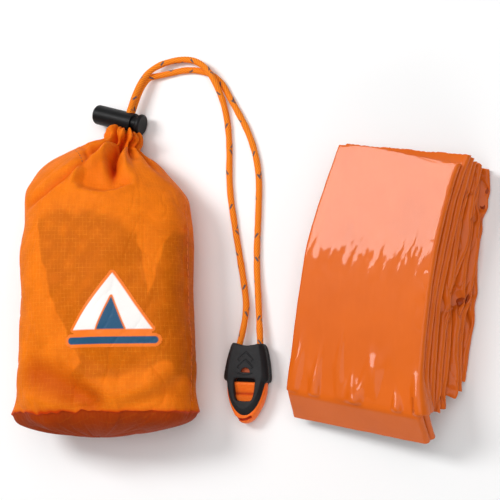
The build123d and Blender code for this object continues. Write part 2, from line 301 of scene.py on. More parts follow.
def ripstop_look(name, pale, deep, stain, contents):
    """Thin orange ripstop: a fine weave with a heavier yarn every YARN_PITCH mm. With contents, its colour
    shows what it lies on, with the painted shade of a low fold mixed in, and its yarns show where it is
    taut.
    Its valleys are tinted dark red as painted shade."""
    look = Look(name, roughness=0.6, specular_ior_level=0.08)
    uv, u, v = look.uv()
    wander = look.maths("MULTIPLY", look.noise(uv, 14, 1), 0.8)
    lines = []
    for axis in (u, v):
        turns = look.maths("DIVIDE", look.maths("ADD", axis, wander), YARN_PITCH)
        off_middle = look.maths("ABSOLUTE", look.maths("SUBTRACT", look.maths("FRACT", turns), 0.5))
        lines.append(look.spread(off_middle, 0.38, 0.48))
    broken = look.spread(look.noise(uv, 2.4, 2), 0.35, 0.65)
    yarn = look.maths("MAXIMUM", *lines)
    fine = look.noise(uv, 0.5, 3, 0.7)
    mottle = look.noise(uv, 9, 3, 0.6)
    base = look.mix(look.value("contents") if contents else mottle, pale, deep)
    base = look.mix(look.spread(mottle, 0.3, 0.75, 0.0, 0.35), base, stain)
    taut = look.value("taut") if contents else 0.15
    lit = look.maths("MULTIPLY", look.maths("MULTIPLY", yarn, broken), taut)
    base = look.mix(look.maths("MULTIPLY", lit, 0.34), base, (0.98, 0.34, 0.025))
    # painted shade: the valleys of pleats, creases and seams, and the sunken pocket, are tinted dark red
    base = look.mix(look.value("valley"), base, (0.58, 0.036, 0.001))
    base = look.mix(look.spread(fine, 0.3, 0.7, 0.0, 0.16), base, (0.35, 0.05, 0.001))
    look.colour(base)
    look.roughness(look.spread(fine, 0.3, 0.7, 0.5, 0.7))
    look.bump((yarn, 0.05), (fine, 0.05), (look.noise(uv, 3.5, 2), 0.12))
    return look.material


def film_look(name):
    """Glossy orange film with a metallised back: a clear sheen over a softly mottled colour."""
    look = Look(name, roughness=0.45, specular_ior_level=0.08, coat_weight=0.3, coat_roughness=0.04)
    where = look.place()
    soft = look.noise(where, 22, 2)
    streak = look.noise(look.place((1.0, 0.2, 1.0)), 2.6, 3, 0.6)
    base = look.mix(look.spread(soft, 0.3, 0.7), (0.725, 0.134, 0.008), (0.665, 0.118, 0.006))
    base = look.mix(look.spread(streak, 0.5, 0.8, 0.0, 0.10), base, (0.88, 0.19, 0.02))
    base = look.mix(look.value("shade"), base, (0.30, 0.032, 0.002))
    look.colour(base)
    look.roughness(look.spread(look.noise(where, 4, 3, 0.65), 0.35, 0.7, 0.30, 0.42))
    look.bump((look.noise(where, 0.8, 2), 0.002))
    return look.material


def print_look(name):
    """Ink printed on the cloth, thin enough to let the weave through."""
    look = Look(name, roughness=0.45, specular_ior_level=0.2)
    uv = look.uv()[0]
    fine = look.noise(uv, 0.6, 3, 0.7)
    base = look.mix(look.noise(uv, 5, 2), (0.93, 0.205, 0.018), (0.86, 0.175, 0.014))
    base = look.mix(look.value("white"), base, look.mix(fine, (0.86, 0.83, 0.80), (0.93, 0.90, 0.87)))
    base = look.mix(look.value("blue"), base, look.mix(fine, (0.012, 0.070, 0.160), (0.020, 0.100, 0.190)))
    look.colour(base)
    look.roughness(look.spread(fine, 0.3, 0.7, 0.38, 0.55))
    look.bump((fine, 0.03))
    return look.material


def thread_look(name, low, high):
    """Twisted sewing thread."""
    look = Look(name, roughness=0.6, specular_ior_level=0.3, sheen_weight=0.2)
    uv, u, v = look.uv()
    ply = look.maths("ABSOLUTE", look.maths("SINE", look.maths("MULTIPLY", look.maths("ADD", u, v), 9.0)))
    look.colour(look.mix(look.maths("MULTIPLY", ply, look.noise(uv, 0.4, 2)), low, high))
    look.bump((ply, 0.03))
    return look.material


def cord_look(name):
    """Braided orange polyester cord with grey-blue tracer yarns."""
    look = Look(name, roughness=0.6, specular_ior_level=0.08)
    fibre = look.noise(look.uv()[0], 0.35, 2, 0.7)
    # painted shade: the cord is darker in the grooves between the yarns, where crown is low
    base = look.mix(look.spread(look.value("crown"), 0.1, 0.8), (0.60, 0.090, 0.003), (1.0, 0.265, 0.008))
    base = look.mix(look.spread(fibre, 0.35, 0.7, 0.0, 0.35), base, (1.0, 0.42, 0.06))
    base = look.mix(look.value("tracer"), base, (0.085, 0.085, 0.11))
    look.colour(base)
    look.bump((fibre, 0.05))
    return look.material


def moulded_look(name, low, high, rough, grain, depth, **marks):
    """Moulded plastic: mottled between two colours, with a fine grain, and other colours at its marks."""
    look = Look(name, specular_ior_level=0.2)
    where = look.place()
    broad = look.noise(where, 5, 3, 0.6)
    fine = look.noise(where, grain, 2, 0.6)
    base = look.mix(look.spread(broad, 0.3, 0.7), low, high)
    base = look.mix(look.spread(fine, 0.35, 0.75, 0.0, 0.3), base, tuple(min(1, 1.8 * k) for k in high))
    for mark, colour in marks.items():
        base = look.mix(look.value(mark), base, colour)
    look.colour(base)
    look.roughness(look.spread(fine, 0.3, 0.7, *rough))
    look.bump((fine, depth))
    return look.material


def steel_look(name):
    """Drawn spring wire."""
    look = Look(name, metallic=1.0)
    where = look.place()
    look.colour(look.mix(look.noise(where, 0.8, 2), (0.55, 0.55, 0.56), (0.72, 0.72, 0.73)))
    look.roughness(look.spread(look.noise(where, 0.4, 2), 0.3, 0.7, 0.22, 0.4))
    look.bump((look.noise(where, 0.3, 1), 0.01))
    return look.material


YARN_PITCH = 1.8  # between two heavier yarns of the ripstop
RIPSTOP = ripstop_look("ripstop fabric", (0.92, 0.205, 0.005), (0.62, 0.135, 0.001), (0.42, 0.070, 0.001),
                       contents=True)
# painted shade: the base panel is the same ripstop in darker, redder colours, standing in for the shade
# that it lies in
SHADED_BASE_CLOTH = ripstop_look("shaded base fabric", (0.38, 0.044, 0.001), (0.27, 0.026, 0.001), (0.26, 0.030, 0.001),
                          contents=False)
FILM = film_look("bivy film")
CORD = cord_look("drawcord")
PRINT = print_look("printed mark")
THREAD = thread_look("thread", (0.70, 0.12, 0.006), (0.95, 0.32, 0.04))
DARK_THREAD = thread_look("dark thread", (0.16, 0.030, 0.004), (0.36, 0.075, 0.008))
LOCK_BLACK = moulded_look("lock plastic", (0.004, 0.004, 0.004), (0.008, 0.008, 0.009), (0.38, 0.55),
                          grain=0.5, depth=0.012)
# painted shade: the cover's bevel and all of the back cover are darker grey; the half-round hole shows the
# body's orange, darkened as painted shade
COVER_GREY = moulded_look("whistle cover", (0.011, 0.011, 0.012), (0.021, 0.021, 0.0225), (0.48, 0.68),
                          grain=0.9, depth=0.05, bevel=(0.006, 0.006, 0.007), hole=(0.42, 0.085, 0.028))
# painted shade: the body's slot behind the ramp and its mouth are tinted dark red
WHISTLE_ORANGE = moulded_look("whistle orange", (0.88, 0.125, 0.008), (0.95, 0.160, 0.014), (0.32, 0.45),
                              grain=0.8, depth=0.01, dark=(0.42, 0.022, 0.003))
STEEL = steel_look("spring steel")

# ---- stuff sack
# Each section, from the base seam to the neck and back in under the hem: centre x and y, turn about Z in
# degrees, half width, underside, height, and how square it is above and below.
SACK = np.array([
    (-64.5, -66.4, 0, 40.9, 0.6, 39.0, 2.9, 3.0),
    (-64.5, -64.0, 0, 40.6, 0.2, 40.6, 2.8, 3.2),
    (-64.5, -58.0, 0, 39.8, 0.0, 42.2, 2.7, 3.4),
    (-64.5, -48.0, 0, 39.3, 0.0, 43.2, 2.6, 3.4),
    (-65.1, -22.5, 0, 38.1, 0.0, 45.4, 2.6, 3.4),
    (-65.6, 0.0, -1, 37.6, 0.0, 45.4, 2.6, 3.4),
    (-66.0, 11.0, -3, 37.8, 0.0, 44.6, 2.5, 3.3),
    (-66.4, 20.3, -5, 38.3, 0.1, 42.8, 2.4, 3.0),
    (-67.0, 28.0, -5, 38.0, 0.2, 40.0, 2.3, 2.8),
    (-67.9, 35.0, -5, 34.8, 0.5, 36.5, 2.2, 2.6),
    (-69.0, 42.0, -4, 28.6, 1.0, 32.0, 2.2, 2.5),
    (-68.6, 48.0, -6, 20.0, 1.6, 26.0, 2.1, 2.3),
    (-65.6, 52.0, -12, 12.6, 2.2, 19.5, 2.0, 2.0),
    (-63.5, 54.4, -17, 8.4, 1.5, 15.8, 2.0, 2.0),
    (-63.0, 56.4, -17, 8.3, 0.7, 16.4, 2.0, 2.0),
    (-62.7, 58.2, -17, 8.3, 0.6, 16.4, 2.0, 2.0),
    (-62.4, 59.9, -17, 7.3, 1.5, 14.6, 2.0, 2.0),
    (-62.3, 60.5, -17, 5.6, 3.2, 11.2, 2.0, 2.0),
    (-62.5, 59.6, -17, 3.9, 4.8, 7.8, 2.0, 2.0),
    (-62.9, 57.4, -17, 2.4, 6.2, 4.8, 2.0, 2.0),
    (-63.5, 55.0, -17, 1.0, 7.6, 2.0, 2.0, 2.0),
])
NECK_ROW = 13  # the section where the gathers are tightest
ROUND, SACK_STEP = 420, 0.62  # columns round the sack, and mm between its rows
GIRTH, SEAM_GIRTH = 214.0, 215.0  # round the sack, and round its base seam
SEAM_Y = SACK[0, 1]


def stations(table, step):
    """The table's rows joined by a smooth curve, at even steps along it, and each row's place on it."""
    shape = np.stack([table[:, 1], table[:, 3]], -1)
    knots = np.concatenate([[0], np.cumsum(np.linalg.norm(np.diff(shape, axis=0), axis=1))])
    fine = np.linspace(0, knots[-1], int(knots[-1] / step))
    slopes = np.gradient(table, knots, axis=0)
    i = np.clip(np.searchsorted(knots, fine, side="right") - 1, 0, len(knots) - 2)
    h = (knots[i + 1] - knots[i])[:, None]
    t = ((fine - knots[i]) / h[:, 0])[:, None]
    for k in range(len(knots) - 1):
        rise = (table[k + 1] - table[k]) / (knots[k + 1] - knots[k])
        for end in (k, k + 1):
            limited = np.sign(rise) * np.minimum(np.abs(slopes[end]), 3 * np.abs(rise))
            slopes[end] = np.where(rise * slopes[end] <= 0, 0, limited)
    h00, h10 = 2 * t**3 - 3 * t**2 + 1, t**3 - 2 * t**2 + t
    h01, h11 = -2 * t**3 + 3 * t**2, t**3 - t**2
    rows = h00 * table[i] + h10 * h * slopes[i] + h01 * table[i + 1] + h11 * h * slopes[i + 1]
    return rows, fine, knots


def rounded_section(half_width, height, above, below, count):
    """Points of a soft squarish section, evenly spaced from its right side, first over the top."""
    angle = np.linspace(0, 2 * math.pi, 1441)
    power = np.where(np.sin(angle) >= 0, 2 / above, 2 / below)
    x = half_width * np.sign(np.cos(angle)) * np.abs(np.cos(angle)) ** power
    z = height / 2 * np.sign(np.sin(angle)) * np.abs(np.sin(angle)) ** power
    reach = np.concatenate([[0], np.cumsum(np.hypot(np.diff(x), np.diff(z)))])
    s = np.arange(count) / count * reach[-1]
    return np.interp(s, reach, x), np.interp(s, reach, z)


# The pleats gathered by the drawcord: place round the sack as a share of it, width, depth, and the section
# that the pleat starts in.
PLEATS = [(0.030, 1.0, 1.0, 8.6), (0.105, 1.2, 0.8, 9.4), (0.165, 1.3, 1.0, 10.2), (0.262, 1.3, 1.1, 9.6),
          (0.335, 1.3, 0.7, 10.9), (0.430, 1.2, 0.7, 10.8), (0.510, 1.0, 1.0, 9.0), (0.575, 1.0, 1.0, 8.0),
          (0.640, 0.9, 1.1, 7.6), (0.705, 1.1, 0.9, 8.2), (0.780, 1.0, 1.0, 7.6), (0.850, 0.9, 1.1, 8.2),
          (0.925, 1.1, 0.9, 8.0)]
DEEP_CREASE = [(-60.5, 53.5), (-59.4, 47.5), (-57.6, 41.0), (-56.0, 35.0), (-55.0, 30.6)]
SECOND_CREASE = [(-56.4, 53.0), (-53.6, 48.6), (-51.0, 45.0)]
SHOULDER_CREASE = [(-68.1, 49.0), (-71.5, 43.1), (-79.0, 35.8), (-87.2, 29.0), (-97.7, 24.6),
                   (-104.5, 23.4)]
CHANNEL = [(-77.5, 52.0), (-74.0, 49.8), (-71.5, 46.9), (-70.0, 44.0)]
# Each crease on the upper side: line seen from above, depth, width, the Y that it fades out at, over what.
CREASES = [(DEEP_CREASE, 4.6, 1.9, 30, 13), (SECOND_CREASE, 3.2, 1.3, 44, 6),
           (SHOULDER_CREASE, 1.7, 1.7, 10, 8), (CHANNEL, 0.9, 0.9, 43, 3)]
POCKET = [(-71.5, 41.2), (-73.5, 32.5), (-68.6, 28.8), (-58.6, 27.3), (-52.0, 27.9), (-47.2, 31.9),
          (-47.6, 35.7), (-53.1, 41.0), (-58.9, 50.5), (-62.8, 50.8), (-66.2, 46.8)]
# Where the contents don't show through, and the line that they reach up to.
BRIGHT_WEDGE = [(-44, 14.5), (-41.5, 5.2), (-36.4, -18.0), (-33.5, -7.7), (-31.2, 5.4), (-26.5, 15.0),
                (-12, 26), (-44, 26)]
LEFT_EDGE = [(-89.5, 19.0), (-84.0, -3.0), (-79.5, -19.3), (-72.0, -36.0), (-66, -46), (-90, -66),
             (-130, -66), (-130, 19)]
CONTENTS_TOP = [(-97, 20.5), (-82, 21.5), (-62, 20.5), (-50, 16.5), (-43, 12.5), (-30, 12.0)]
# Broad folds above the base seam: line seen from above, height and width. The first is the shaded one.
LOW_FOLDS = [([(-88, -50), (-76, -55), (-63, -61.5)], -2.4, 6.0),
             ([(-92, -60), (-78, -63), (-66, -64)], 0.7, 2.4),
             ([(-67, -50), (-59, -57), (-50, -60.5), (-38, -57), (-26, -47)], 1.8, 4.6),
             ([(-46, -64), (-33, -61), (-25, -56)], -1.3, 3.2),
             ([(-60, -46), (-48, -50), (-34, -44)], -0.9, 5.0)]
EARS = [(0.47, 2.0), (0.03, 0.25)]  # the corners that stick out at the base seam: place round it, size

LOCK_POS = np.array([-62.5, 65.4, 5.8])
ALONG_LOCK, ALONG_CORD = turned(-17)
BUTTON_FROM, BUTTON_TO, BUTTON_R = 2.6, 8.2, 5.6  # the room that the button moves in, along the lock


def sack_skin():
    """The sack before it creases: points, way out, and each row's place, section and half width."""
    rows, s, knots = stations(SACK, SACK_STEP)
    pts = np.zeros((len(rows), ROUND, 3))
    for i, (cx, cy, turned, half, low, high, above, below) in enumerate(rows):
        x, z = rounded_section(half, high, above, below, ROUND)
        angle = math.radians(turned)
        pts[i] = np.stack([cx + x * math.cos(angle), cy + x * math.sin(angle), low + high / 2 + z], -1)
    right = np.roll(pts, -1, 1) - np.roll(pts, 1, 1)
    out = np.cross(np.gradient(pts, axis=0), right)
    out /= np.linalg.norm(out, axis=-1)[..., None] + 1e-9
    out *= np.sign(((pts - pts.mean(1, keepdims=True)) * out).sum(-1).mean())
    section = np.interp(s, knots, np.arange(len(knots)))[:, None]
    return pts, out, s, section, rows[:, 3][:, None]


def gathers(share, s, section, half):
    """The pleats at the neck and the ruffled hem: how far they push the cloth out, and its shade."""
    push = np.zeros((len(s), ROUND))
    valley = np.zeros_like(push)
    past = smooth((section - NECK_ROW) / 2.0)
    drift = 0.010 * waves(points_of(share * 3, s[:, None] / 30), 1.0, 5)
    for place, wide, deep, starts in PLEATS:
        gap = np.abs((share + drift - place + 0.5) % 1 - 0.5)
        width = 0.016 * wide * (1 - 0.25 * past)
        reach = smooth(1.15 * (section - starts) / (NECK_ROW - starts))
        dip = bell(gap, width) * reach * deep
        push -= dip * np.minimum(3.4, 0.34 * half)
        valley = np.maximum(valley, dip * 0.8)
        swell = bell(gap - 2.1 * width, 1.2 * width) * reach
        push += swell * np.minimum(0.7, 0.05 * half)
    ruffle = smooth((section - NECK_ROW + 0.4) / 1.5)
    return push + ruffle * 0.5 * waves(points_of(share * 60, 0.3 * s[:, None]), 3.2, 8), valley


def creases(pts, on_top):
    """The creases and the sunken pocket of the upper side: push, shade, and 1 inside the pocket."""
    X, Y = pts[..., 0], pts[..., 1]
    push = np.zeros_like(X)
    valley = np.zeros_like(X)
    for line, depth, width, end, fades in CREASES:
        off = line_distance(X, Y, line)
        fade = on_top * smooth((Y - end) / fades) * smooth((X + 106) / 16)
        push -= depth * bell(off, width) * fade
        push += 0.25 * depth * bell(off - 2.4 * width, width) * fade
        valley = np.maximum(valley, bell(off, 0.8 * width) * fade * min(0.95, depth / 4))
    pocket = inside_distance(X + 0.5 * waves(pts, 16, 21), Y + 0.5 * waves(pts, 16, 22), POCKET)
    sunk = smooth(pocket / 4.6 + 0.15) * on_top
    rim = bell(pocket + 1.2, 1.8) * on_top
    return push - 2.9 * sunk * (1 + 0.15 * waves(pts, 16, 23)) + 0.8 * rim, valley, sunk


def slack(pts, lying, neckness):
    """The unevenness of loose cloth: broad waves, and crumple lines that are deepest at the low end."""
    low_end = smooth((-30 - pts[..., 1]) / 25)
    stretched = pts * (0.9, 0.55, 0.9)
    push = (0.9 * waves(stretched, 34, 1) + 0.30 * waves(stretched, 13, 2)) * (1 - 0.8 * neckness)
    crumple = 0.55 * ridges(pts * (0.8, 1.3, 0.8), 26, 3, 0.16) * (0.35 + 0.65 * low_end)
    crumple = crumple + 0.30 * ridges(pts * (1.2, 0.7, 1.0), 15, 4, 0.15)
    return (1 - 0.85 * lying) * (push - crumple * (1 - neckness))


def clear_of_button(pts):
    """The points with the hem moved back from the room that the lock's button moves in."""
    from_lock = pts - LOCK_POS
    across, beyond, above = from_lock @ ALONG_LOCK, from_lock @ ALONG_CORD, from_lock[..., 2]
    near = smooth((across - BUTTON_FROM) / 0.8) * smooth((BUTTON_TO - across) / 0.8)
    near = near * (np.abs(above) < BUTTON_R)
    clear = -np.sqrt(np.maximum(BUTTON_R ** 2 - above ** 2, 0))
    return pts + ALONG_CORD * (near * np.clip(clear - beyond, -3.0, 0))[..., None]


def sack_body():
    """The cloth from the base seam to the neck and into the hem: points, way out, contents with painted
    shade, tautness.
    """
    pts, out, s, section, half = sack_skin()
    X, Y, Z = pts[..., 0], pts[..., 1], pts[..., 2]
    share = np.arange(ROUND) / ROUND
    on_top = smooth((out[..., 2] - 0.1) / 0.5)
    lying = smooth((-out[..., 2] - 0.5) / 0.4)  # 1 where the cloth lies on the surface below
    pleat_push, pleat_shade = gathers(share, s, section, half)
    crease_push, crease_shade, sunk = creases(pts, on_top)
    push = pleat_push + crease_push + slack(pts, lying, smooth((section - 7.0) / (NECK_ROW - 7.0)))
    for line, high, width in LOW_FOLDS:
        push += high * bell(line_distance(X, Y, line), width) * on_top
    # the base seam puckers, and sticks out at its corners
    pucker = waves(points_of(share * SEAM_GIRTH, 0 * X), 6.5, 9)
    pucker = pucker * (0.22 + 0.78 * bell(X + 73, 13) * on_top)
    ear = sum(size * bell(share - at, 0.03) for at, size in EARS) * np.exp(-(Y - SEAM_Y) / 6.0)
    push += np.exp(-(Y - SEAM_Y) / 3.0) * (0.6 + 0.45 * pucker) + 1.9 * ear
    pts = pts + out * push[..., None]
    pts[..., 1] += np.exp(-(Y - SEAM_Y) / 2.2) * (0.75 * pucker - 0.6 * ear) * (1 - 0.6 * lying)
    pts[..., 2] = np.maximum(pts[..., 2], 0.12 + 0.25 * smooth((Y - 20) / 20))
    pts = clear_of_button(pts)
    # what shows through the cloth, from the moved points
    X, Y = pts[..., 0], pts[..., 1]
    wander = 0.8 * waves(pts, 9, 31)
    upper = np.interp(X, *zip(*CONTENTS_TOP))
    held = smooth((upper + 0.8 * wander - Y) / 5.0) * smooth((Y + 58 + 4 * waves(pts, 14, 33)) / 10)
    wedge = smooth(0.5 + inside_distance(X + 0.3 * wander, Y, BRIGHT_WEDGE) / 0.9)
    strip = smooth(0.5 + inside_distance(X + 0.5 * wander, Y, LEFT_EDGE) / 1.4)
    contents = held * (1 - np.maximum(wedge, strip)) * smooth((Z - 9) / 6)
    # painted shade: the broad fold above the base seam is darkened through the contents tone and the valley
    # tint
    low_shade = smooth(1 - line_distance(X, Y, LOW_FOLDS[0][0]) / 12) * on_top
    contents = np.clip(np.maximum(contents * (0.92 + 0.12 * waves(pts, 8, 34)), low_shade), 0, 1)
    taut = np.clip(0.35 + 0.65 * smooth((upper + 6 - Y) / 12) + 0.25 * waves(pts, 12, 35), 0, 1)
    seam_shade = np.exp(-(Y - SEAM_Y - 0.4) / 0.7) * (0.4 + 0.3 * pucker)
    # painted shade: pleats, creases, the base seam, the low fold and the sunken pocket are darkened into
    # the valley tint
    valley = np.maximum.reduce([pleat_shade, crease_shade, seam_shade, 0.38 * low_shade]) + 0.16 * sunk
    made = grid(pts, np.arange(ROUND + 1) / ROUND * GIRTH, s, True, contents=contents, taut=taut,
                valley=np.clip(valley, 0, 0.95))
    obj = piece("sack_body_cloth", [made], "sack", RIPSTOP)
    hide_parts("sack_body", "drawcord_hem")
    return pts, out, contents, taut


# The base panel: its middle, how far it bulges, and in X and Z the folds across it and its shaded line.
BASE_MIDDLE, BASE_BULGE = (-68.5, -66.5, 16.5), 10.8
BASE_FOLDS = [([(-105, 20), (-80, 12), (-55, 16), (-30, 22)], 1.6),
              ([(-92, 30), (-70, 21), (-45, 27)], 1.0)]
BASE_SHADE = [(-80, 10), (-50, 13)]


def sack_base(edge):
    """The round base panel: set into the seam, it bulges out and puckers where it is gathered in."""
    steps = np.linspace(0, 1, 90)[:, None]
    edge_x, edge_y, edge_z = edge.T
    mid_x, mid_y, mid_z = BASE_MIDDLE
    shrink = np.cos(steps * math.pi / 2) ** 0.85
    tuck = np.exp(-steps / 0.02)
    x = mid_x + (edge_x - mid_x) * shrink ** 1.5 * (0.975 + 0.025 * tuck)
    z = mid_z + (edge_z - mid_z) * shrink * (0.96 + 0.04 * tuck)
    y = edge_y + (mid_y - edge_y) * (1 - shrink) - BASE_BULGE * np.sin(steps * math.pi / 2) ** 0.9
    pts = points_of(x, y, z)
    pucker = waves(points_of(np.arange(ROUND) / ROUND * SEAM_GIRTH, 0 * x), 5.0, 9)
    pts[..., 1] += np.exp(-steps / 0.16) * 0.35 * pucker * steps ** 0.3
    pts[..., 1] -= 0.3 * waves(pts, 24, 41) * smooth(steps * 5)
    for line, depth in BASE_FOLDS:
        pts[..., 1] += depth * bell(line_distance(x, z, line), 2.4) * smooth(steps * 6)
    pts[..., 2] = np.maximum(pts[..., 2], 0.15)
    # painted shade: darker where the panel tucks into the seam and along its shaded line
    valley = np.clip(0.75 * tuck + 0.30 * smooth(1 - line_distance(x, z, BASE_SHADE) / 14), 0, 0.9)
    round_it = list(range(ROUND)) + [0]
    made = grid(pts, x[:, round_it], z[:, round_it], True, valley=valley)
    obj = piece("sack_base_panel", [made], "sack", SHADED_BASE_CLOTH)
    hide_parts("sack_base", "sack_base_seam")


def stitches(name, line, pitch, long, look, body, thick=0.2):
    """A row of thread stitches along a line on the cloth: short tubes whose ends dive into it."""
    line, s = along(line, 0.2)
    made = []
    for start in np.arange(0.6, s[-1] - long, pitch):
        share = np.linspace(0, 1, 9)
        path = np.stack([np.interp(start + long * share, s, line[:, k]) for k in range(3)], -1)
        path[:, 2] += 0.30 * np.sin(math.pi * share) - 0.22
        radius = thick * np.sqrt(np.sin(math.pi * (0.08 + 0.84 * share)))[:, None]
        made.append(tube(path, share * long, radius, 8))
    piece(name, made, body, look)


SEAM_HALF = 7  # columns on each side of the seam's middle


def side_seam(points, out, contents, taut):
    """The lengthwise seam that closes the body into a tube: a narrow puckered ridge on its right side."""
    rows = np.flatnonzero((points[:, 0, 1] > -63) & (points[:, 0, 1] < 26))
    cols = np.arange(-SEAM_HALF, SEAM_HALF + 1)
    cut = np.ix_(rows, cols)
    place, away = points[cut], out[cut]
    pucker = waves(points_of(place[..., 1], 0), 4.2, 51)
    ends = np.sin(math.pi * np.linspace(0, 1, len(rows)))[:, None] ** 0.3
    arch = np.cos(cols / SEAM_HALF * math.pi / 2) ** 0.7
    rise = ((0.44 + 0.10 * np.clip(pucker, -1, 1)) * arch * ends - 0.12)[..., None]
    # painted shade: a light dark-red tint along the seam's puckers
    made = grid(place + away * rise, cols * 0.5, place[:, SEAM_HALF, 1], contents=contents[cut],
                taut=0.6 * taut[cut], valley=np.clip(0.10 + 0.08 * pucker, 0, 0.5))
    obj = piece("side_seam_strip", [made], "sack", RIPSTOP)
    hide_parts("sack_side_seam")
    ridge = (place + away * (rise + 0.18))[:, SEAM_HALF]
    stitches("side_seam_thread", ridge, 3.0, 2.1, THREAD, "sack")


PACKED_X, PACKED_Y, PACKED_Z, PACKED_LONG = -64.5, -58.0, 11.2, 75.0
SLABS, SLAB_HIGH, SLAB_STEP = 4, 5.5, 5.75


def packed_film():
    """A second bivy folded small inside the sack: soft slabs of film lying on one another."""
    made = []
    way = np.linspace(0, 1, 120)
    ends = (1 - (2 * way - 1) ** 12) ** 0.5
    for k in range(SLABS):
        rows = []
        for share, thin in zip(way, ends):
            x, z = rounded_section(25.0 - 1.2 * k * k / 3, max(0.2, SLAB_HIGH * thin), 5, 5, 160)
            y = PACKED_Y + PACKED_LONG * share
            rows.append(points_of(x + PACKED_X, y, z + PACKED_Z + SLAB_STEP * k))
        points = np.array(rows)
        points[..., 2] += 0.22 * waves(points * (1, 0.5, 1), 9, 61 + k)
        points[..., 0] += 0.5 * waves(points * (0.2, 1, 1), 14, 66 + k)
        made.append(grid(points, np.arange(161) * 0.7, way * PACKED_LONG, True, shade=0.3))
    obj = piece("packed_film_folds", made, "sack", FILM)
    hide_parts("packed_bundle")


# A plain printed mark of a tent over a line of ground, on its own drawing about its middle.
TENT = [(0, 16), (17.5, -8), (-17.5, -8)]
DOOR = [(0, 6), (6.0, -8), (-6.0, -8)]
GROUND = [(-18.5, -12.6), (18.5, -12.6)]
MARK_AT, MARK_STEP, BORDER = (-51.7, -24.3), 0.3, 1.5


def printed_mark(points):
    """The mark, printed on a patch that follows the cloth."""
    coarse = points[::2, ::2]
    cloth = grid(coarse, 0, np.zeros(len(coarse)), True)
    tree = BVHTree.FromPolygons(cloth["points"].tolist(), cloth["faces"].tolist())
    x, y = np.meshgrid(np.arange(-23, 23, MARK_STEP), np.arange(-17, 20, MARK_STEP))
    tent, door = inside_distance(x, y, TENT), inside_distance(x, y, DOOR)
    ground = 1.5 - line_distance(x, y, GROUND)
    spread_out = np.maximum(tent, ground) + BORDER
    over = zip((x + MARK_AT[0]).flat, (y + MARK_AT[1]).flat)
    z = [tree.ray_cast((a, b, 90), (0, 0, -1))[0][2] for a, b in over]
    place = points_of(x + MARK_AT[0], y + MARK_AT[1], np.reshape(z, x.shape) + 0.16)
    made = grid(place, x[0], y[:, 0], white=smooth(np.minimum(tent, -door - 0.7) / 0.3 + 0.5),
                blue=smooth(np.maximum(door, ground) / 0.3 + 0.5))
    corners = made["faces"]
    kept = (spread_out.ravel()[corners] > 0).all(1)
    made["uv"] = made["uv"].reshape(-1, 4, 2)[kept].reshape(-1, 2)
    used, made["faces"] = np.unique(corners[kept], return_inverse=True)
    made["faces"] = made["faces"].reshape(-1, 4)
    made["points"] = made["points"][used]
    made["values"] = {key: value[used] for key, value in made["values"].items()}
    piece("printed_mark", [made], "sack", PRINT)


sack_points, sack_out, sack_contents, sack_taut = sack_body()
sack_base(sack_points[0])
side_seam(sack_points, sack_out, sack_contents, sack_taut)
packed_film()
printed_mark(sack_points)
cloth_x, cloth_y, cloth_z = (sack_points[:, :ROUND // 2, k] for k in range(3))


def on_cloth(line, step=1.0):
    """The points of the sack's upper side nearest to a line drawn from above."""
    flat, _ = along([(x, y, 0) for x, y in line], step)
    found = []
    for x, y, _ in flat:
        near = np.argmin((cloth_x - x) ** 2 + (cloth_y - y) ** 2 - 0.2 * cloth_z)
        found.append((x, y, cloth_z.flat[near]))
    return np.array(found)


beside_channel = on_cloth([(x - 1.6, y - 2.4) for x, y in CHANNEL])
stitches("channel_thread", beside_channel, 2.1, 1.3, DARK_THREAD, "sack", 0.17)

# ---- drawcord
CORD_R = 1.4
BORE = 1.5  # the strands lie this far above and below the middle of the lock's bore
HINGE = np.array([-3.75, -35.75, 4.9])
ACROSS_WHISTLE, ALONG_WHISTLE = turned(-3)
UPRIGHT = np.array([0, 0, 1.0])
# Each strand: its side of the whistle, its height in the bore, how far it runs straight, and its route.
STRANDS = {
    "left": (-1, BORE, 15, [
        (-51.5, 90.5, 4.6), (-36.5, 94, 2.2), (-26, 89.5, 4.8), (-20, 80.5, 4.8), (-16.5, 69, 1.6),
        (-14.5, 53.5, 1.4), (-15, 33.5, 1.4), (-11.5, 11.5, 1.4), (-7.5, -11, 1.4), (-5.5, -25, 3.2)]),
    "right": (1, -BORE, 21, [
        (-47.5, 87, 1.4), (-33, 89, 1.4), (-20, 84, 1.4), (-13, 71, 1.4), (-5, 56.5, 1.4), (-0.5, 40, 1.4),
        (-1, 20, 1.4), (-2, 0, 1.4), (-0.5, -18.5, 2.8)]),
}
BRAID_ROUND, BRAID_STEP = 36, 0.24  # columns round a cord, and mm between its rows
BRAID_LEAD = 12.4  # mm in which a yarn goes once round


def nurbs_line(points):
    """The smooth line that a NURBS spline draws from its control points, in mm on the drawing."""
    curve = bpy.data.curves.new("route", "CURVE")
    curve.dimensions = "3D"
    spline = curve.splines.new("NURBS")
    spline.points.add(len(points) - 1)
    for control, point in zip(spline.points, metres(points)):
        control.co = (*point, 1)
    spline.order_u = 3
    spline.use_endpoint_u = True
    spline.resolution_u = 16
    holder = bpy.data.objects.new("route", curve)
    mesh = bpy.data.meshes.new_from_object(holder)
    line = np.array([v.co for v in mesh.vertices], float) * 1000 - DRAWING_AT
    bpy.data.objects.remove(holder)
    bpy.data.curves.remove(curve)
    bpy.data.meshes.remove(mesh)
    return line


